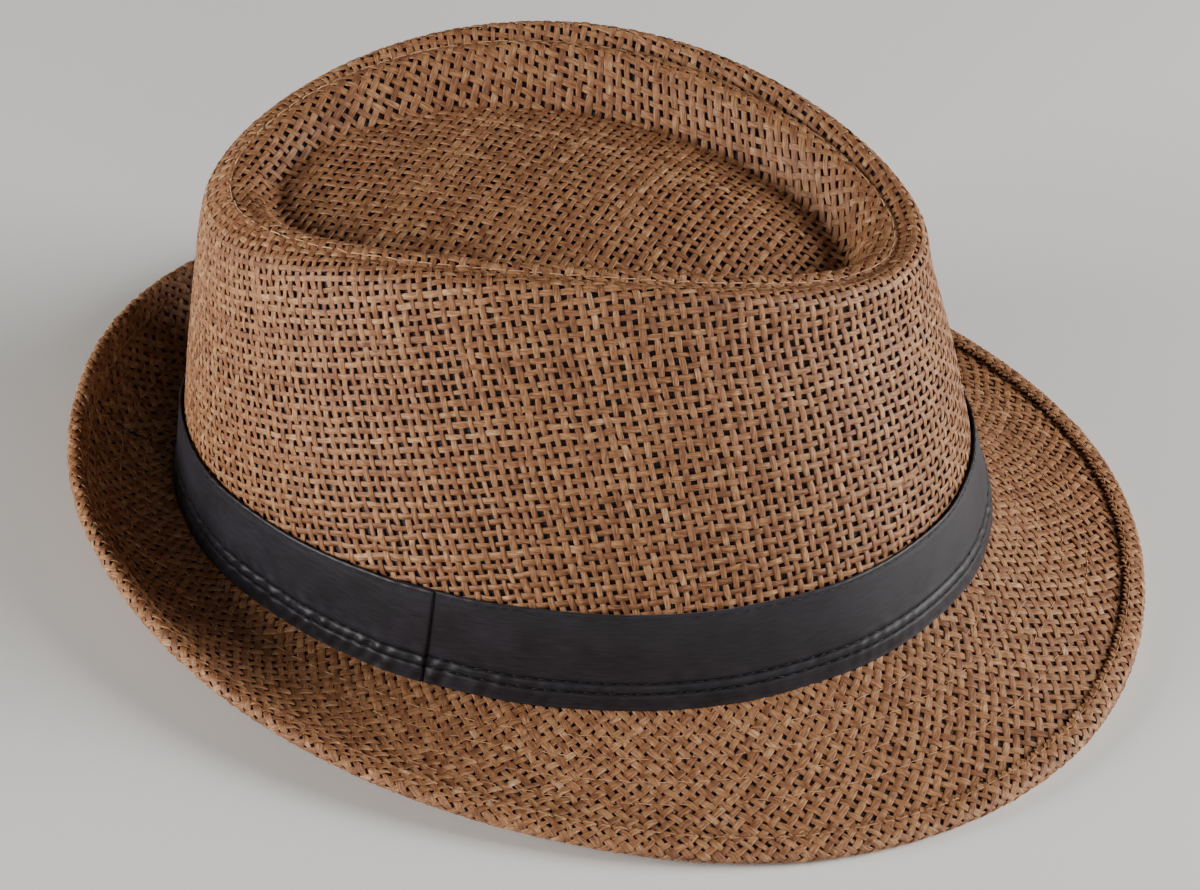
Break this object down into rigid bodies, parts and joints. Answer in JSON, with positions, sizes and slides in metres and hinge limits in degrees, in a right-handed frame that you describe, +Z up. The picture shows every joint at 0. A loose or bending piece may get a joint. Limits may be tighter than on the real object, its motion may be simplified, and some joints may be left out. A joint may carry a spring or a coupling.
{
  "type": "straw fedora",
  "caption": "Short-brim woven straw fedora with a teardrop dented crown, a bound brim turned up behind and a dark satin ribbon round the crown.",
  "frame": {"origin": "middle of the hat's footprint, on the surface that it rests on", "axes": "+Z up as it rests; the hat faces -Y; +X is the wearer's left; the plane x = 0 is the hat's symmetry plane"},
  "size_m": [0.2572, 0.275, 0.1087],
  "materials": {
    "crown_straw": "open plain weave of twisted paper straw, matte, tan to reddish brown, dark backing in the gaps",
    "tip_straw": "open plain weave of twisted paper straw, matte",
    "brim_straw": "open plain weave of twisted paper straw, matte, with rows of topstitching",
    "binding_straw": "folded strip of the same straw cloth, matte",
    "black_satin": "black satin ribbon with a soft sheen, stitched along its lower edge"
  },
  "bodies": {
    "root": {"crown_side": "crown_straw", "crown_tip": "tip_straw", "brim": "brim_straw", "brim_binding": "binding_straw", "hatband": "black_satin"}
  },
  "joints": []
}
